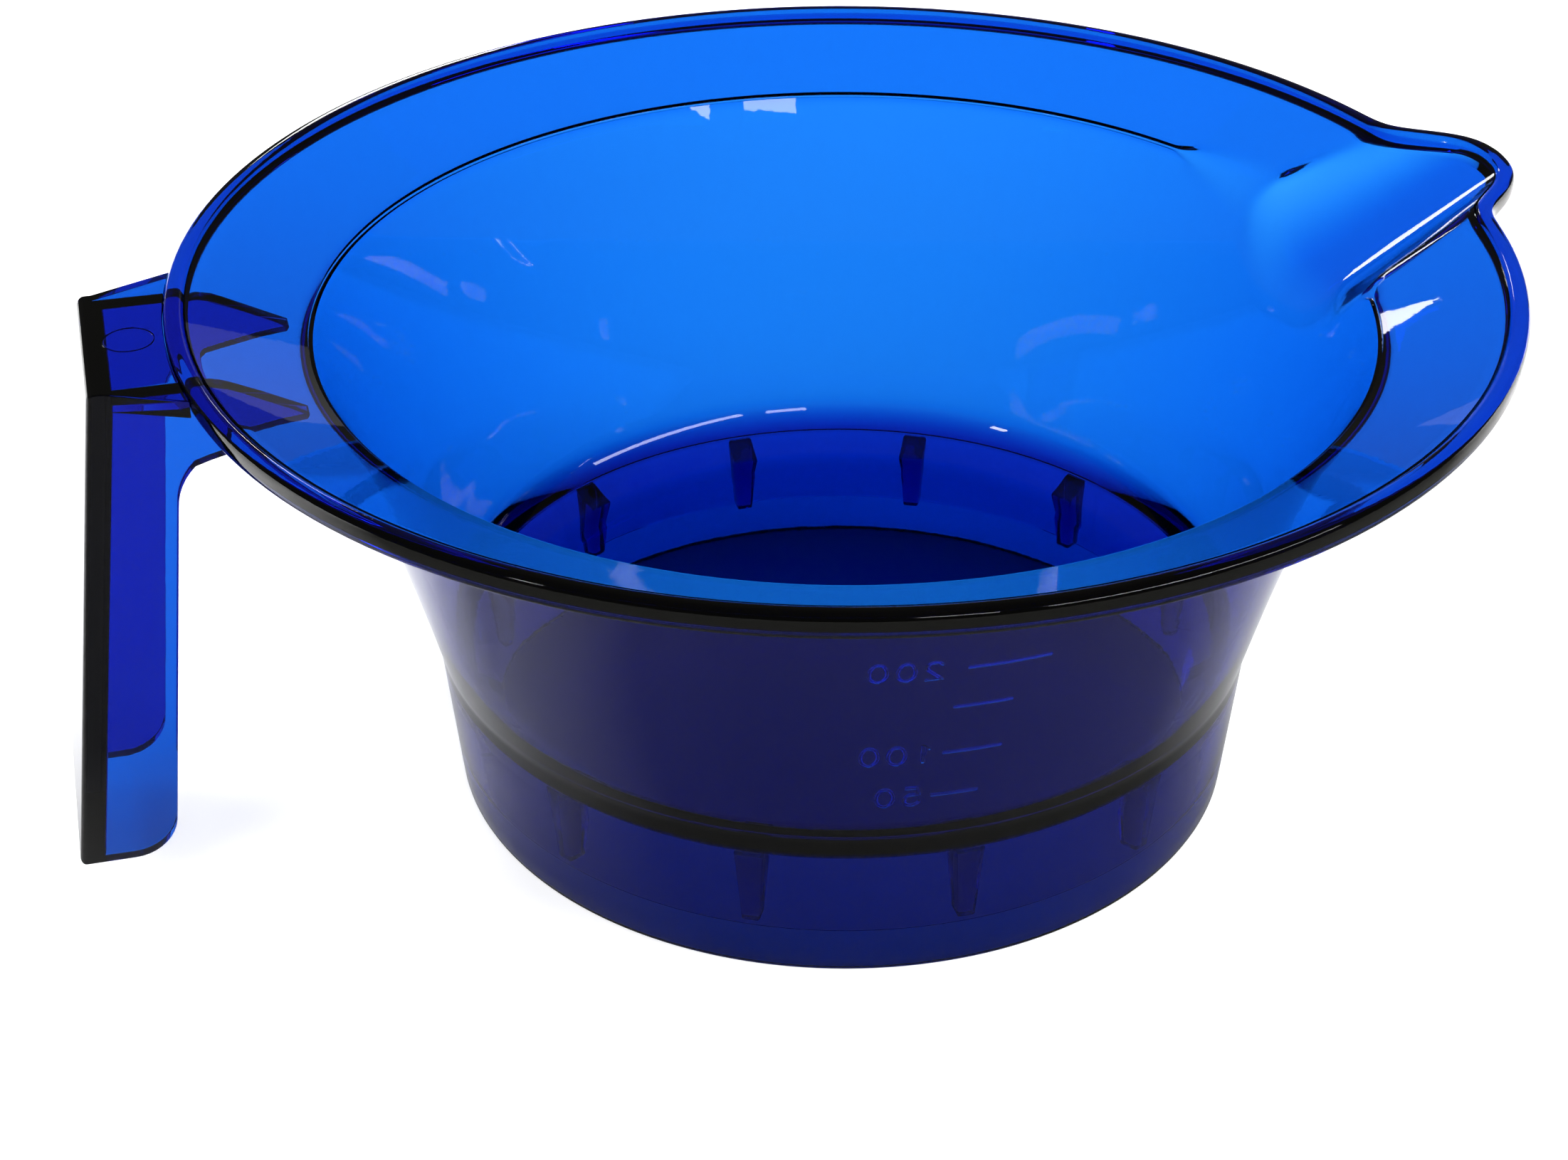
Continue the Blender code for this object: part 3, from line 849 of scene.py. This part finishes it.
studio = {
    "floorHalf": 3.0,
    "floorDrop": 0.00002,  # keeps the paper just clear of the foot
    "floorColour": (0.9, 0.9, 0.9),
    "floorReflectionShade": (0.14, 0.14, 0.13),  # painted shade: the dark colour the paper takes in the plastic's reflections, standing in for a dim room
    "reflectionShadeStart": -0.04,  # the painted shade in reflections covers only the paper in front of the bowl, in metres along y
    "reflectionShadeEnd": 0.03,
    "floorLift": (0.3, 0.3, 0.3),  # keeps the paper white round the foot
    "ambient": (0.8, 0.8, 0.75),
    "ambientStrength": 0.06,
    "overheadSize": (1.6, 1.6),
    "overheadPlace": (0.0, 0.1, 1.3),  # from the bowl's middle
    "overheadWatts": 12.5,
    "sideCount": 6,
    "sideWatts": 12.5,
    "sideReach": 1.3,
    "sideHeight": 0.62,
    "sideSize": (0.9, 0.6),
}

lamps = [
    # name, width and height, heading and height seen from the bowl in degrees, distance, radiance
    ("windowLow", (0.14, 0.17), 87.0, 21.0, 1.3, 8.0),
    ("wallBack", (0.3, 0.26), 68.0, 13.0, 1.3, 0.2),
    ("stripRight", (1.1, 0.1), -46.0, 33.0, 1.3, 9.0),
    ("stripFront", (0.25, 0.1), -87.0, 32.0, 1.3, 8.0),
    ("stripLeft", (0.1, 0.1), -156.0, 31.0, 1.3, 16.0),
]

view = {
    "place": (-1.0258, -3.7757, 2.7613),  # from the bowl's axis, in rim radii
    "heading": 13.848,  # degrees from +Y towards +X
    "dip": 32.33,
    "roll": -0.0058,
    "lens": 66.63,
}


def buildFloor():
    bm = bmesh.new()
    half = studio["floorHalf"]
    steps = 24
    grid = []
    for i in range(steps + 1):
        row = []
        for j in range(steps + 1):
            row.append(bm.verts.new((half * (2 * i / steps - 1), half * (2 * j / steps - 1), 0.0)))
        grid.append(row)
    for i in range(steps):
        for j in range(steps):
            bm.faces.new((grid[i][j], grid[i + 1][j], grid[i + 1][j + 1], grid[i][j + 1]))
    ground = newObject("studioFloor", bm)
    ground.location.z = footLow.z - studio["floorDrop"]
    paper = bpy.data.materials.new("whitePaper")
    paper.use_nodes = True
    tree = paper.node_tree
    shader = tree.nodes["Principled BSDF"]
    setInputs(shader, Roughness=0.95)
    path = addNode(tree, "ShaderNodeLightPath")
    # painted shade: the paper in front of the bowl turns dark when seen in the plastic's reflections,
    # standing in for a dim room reflected in the gloss
    shade = addNode(tree, "ShaderNodeMix", data_type="RGBA")
    shade.inputs["A"].default_value = (*studio["floorColour"], 1.0)
    shade.inputs["B"].default_value = (*studio["floorReflectionShade"], 1.0)
    reflectionShadeRays = mathNode(tree, "SUBTRACT", path.outputs["Is Glossy Ray"], path.outputs["Is Transmission Ray"])
    place = addNode(tree, "ShaderNodeTexCoord")
    split = addNode(tree, "ShaderNodeSeparateXYZ")
    tree.links.new(place.outputs["Object"], split.inputs["Vector"])
    front = addNode(tree, "ShaderNodeMapRange")
    setInputs(front, From_Min=studio["reflectionShadeEnd"], From_Max=studio["reflectionShadeStart"])
    tree.links.new(split.outputs["Y"], front.inputs["Value"])
    reflectionShadeFactor = mathNode(tree, "MULTIPLY", reflectionShadeRays, front.outputs[0])
    tree.links.new(reflectionShadeFactor, shade.inputs["Factor"])
    tree.links.new(shade.outputs["Result"], shader.inputs["Base Color"])
    shader.inputs["Specular IOR Level"].default_value = 0.0
    glow = addNode(tree, "ShaderNodeMix", data_type="RGBA")
    glow.inputs["A"].default_value = (0.0, 0.0, 0.0, 1.0)
    glow.inputs["B"].default_value = (*studio["floorLift"], 1.0)
    tree.links.new(path.outputs["Is Camera Ray"], glow.inputs["Factor"])
    tree.links.new(glow.outputs["Result"], shader.inputs["Emission Color"])
    shader.inputs["Emission Strength"].default_value = 1.0
    ground.data.materials.append(paper)


def addLamp(name, size, place, aim, watts):
    lamp = bpy.data.lights.new(name, "AREA")
    lamp.shape = "RECTANGLE"
    lamp.size, lamp.size_y = size
    lamp.energy = watts
    holder = bpy.data.objects.new(name, lamp)
    holder.location = place
    holder.rotation_euler = (aim - place).to_track_quat("-Z", "Y").to_euler()
    bpy.context.scene.collection.objects.link(holder)
    return holder


def buildLights():
    world = bpy.data.worlds.new("studio")
    world.use_nodes = True
    back = world.node_tree.nodes["Background"]
    back.inputs["Color"].default_value = (*studio["ambient"], 1.0)
    back.inputs["Strength"].default_value = studio["ambientStrength"]
    bpy.context.scene.world = world
    centre = Vector((axisX * mm, 0, 0.03))
    above = centre + Vector(studio["overheadPlace"])
    overhead = addLamp("overhead", studio["overheadSize"], above, centre, studio["overheadWatts"])
    overhead.visible_glossy = False
    for i in range(studio["sideCount"]):
        turned = 360.0 * (i + 0.5) / studio["sideCount"]
        place = centre + polar(studio["sideReach"], turned, studio["sideHeight"])
        side = addLamp("side%d" % i, studio["sideSize"], place, centre, studio["sideWatts"])
        side.visible_glossy = False  # these only light the paper
        side.visible_transmission = False
    for name, size, heading, height, far, radiance in lamps:
        lift = math.radians(height)
        place = centre + polar(far * math.cos(lift), heading, far * math.sin(lift))
        addLamp(name, size, place, centre, radiance * math.pi * size[0] * size[1])


def buildCamera():
    radius = bowl["rimRadius"] * mm
    data = bpy.data.cameras.new("studioCamera")
    data.lens = view["lens"]
    data.sensor_fit = "HORIZONTAL"
    data.sensor_width = 36.0
    data.clip_start = 0.01
    camera = bpy.data.objects.new("studioCamera", data)
    heading, dip = math.radians(view["heading"]), math.radians(view["dip"])
    ahead = Vector((math.sin(heading) * math.cos(dip), math.cos(heading) * math.cos(dip), -math.sin(dip)))
    right = ahead.cross(Vector((0, 0, 1))).normalized()
    up = right.cross(ahead)
    tilt = view["roll"]
    turnedRight = right * math.cos(tilt) + up * math.sin(tilt)
    turnedUp = up * math.cos(tilt) - right * math.sin(tilt)
    matrix = camera.matrix_world.copy()
    for row in range(3):
        matrix[row][0] = turnedRight[row]
        matrix[row][1] = turnedUp[row]
        matrix[row][2] = -ahead[row]
        matrix[row][3] = view["place"][row] * radius
    matrix[0][3] += axisX * mm
    camera.matrix_world = matrix
    bpy.context.scene.collection.objects.link(camera)
    bpy.context.scene.camera = camera
    bpy.context.scene.view_settings.view_transform = "Standard"


before = set(bpy.data.objects)
buildShell()
print("shell built")
buildHandle()
print("handle built")
buildRibs()
print("ribs built")
buildMarks()
print("graduation built")
dressPieces([obj for obj in bpy.data.objects if obj not in before and obj.type == "MESH"])
print("finishes set")
buildFloor()
buildLights()
buildCamera()
print("studio set")
